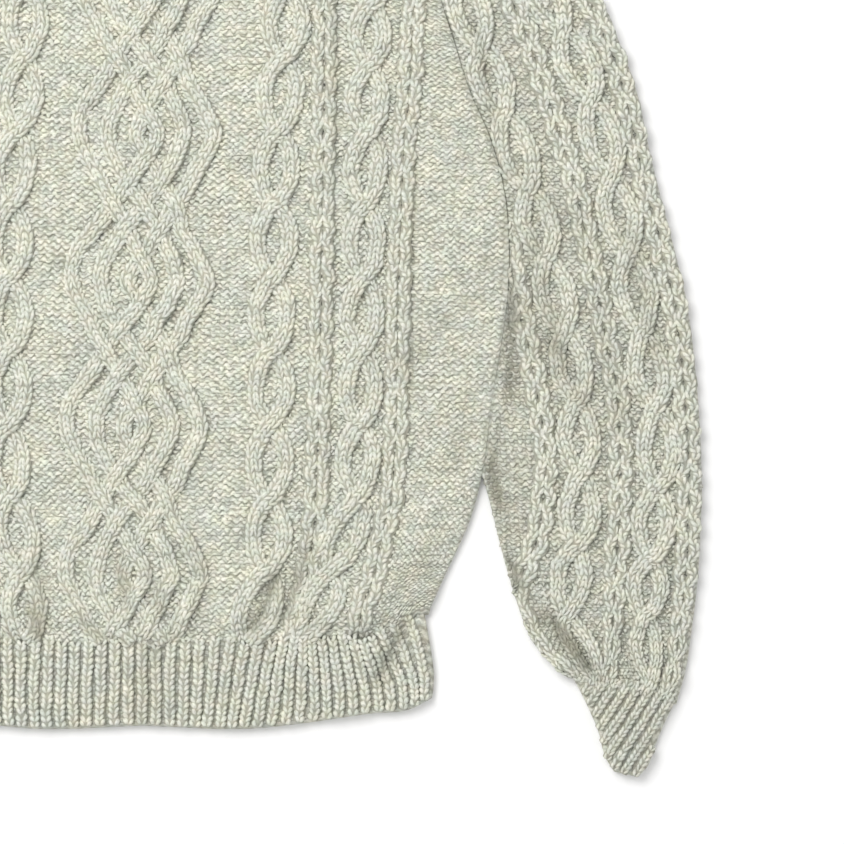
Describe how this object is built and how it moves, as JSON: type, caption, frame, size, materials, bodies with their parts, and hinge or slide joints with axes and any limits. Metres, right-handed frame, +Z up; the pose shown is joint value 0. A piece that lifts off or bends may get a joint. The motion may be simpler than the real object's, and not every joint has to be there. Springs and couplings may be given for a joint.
{
  "type": "cable knit sweater",
  "caption": "Hand-knitted wool sweater with a plaited centre braid, rope cables and ribbed hem, cuffs and neckband, laid flat on its back.",
  "frame": {"origin": "centre of the bounding box in plan, on the surface that the sweater lies on", "axes": "+Z up out of the front of the sweater, +Y towards the neck, +X to the right of someone looking down on the front"},
  "size_m": [0.8124, 0.661, 0.0182],
  "materials": {
    "cable_knit": "matte undyed wool, cable knit",
    "rib_knit": "matte undyed wool, knit one purl one rib"
  },
  "bodies": {
    "root": {"front": "cable_knit", "back": "cable_knit", "hem_rib_front": "rib_knit", "hem_rib_back": "rib_knit", "neckband": "rib_knit", "sleeve_right": "cable_knit", "cuff_right": "rib_knit", "sleeve_left": "cable_knit", "cuff_left": "rib_knit"}
  },
  "joints": []
}
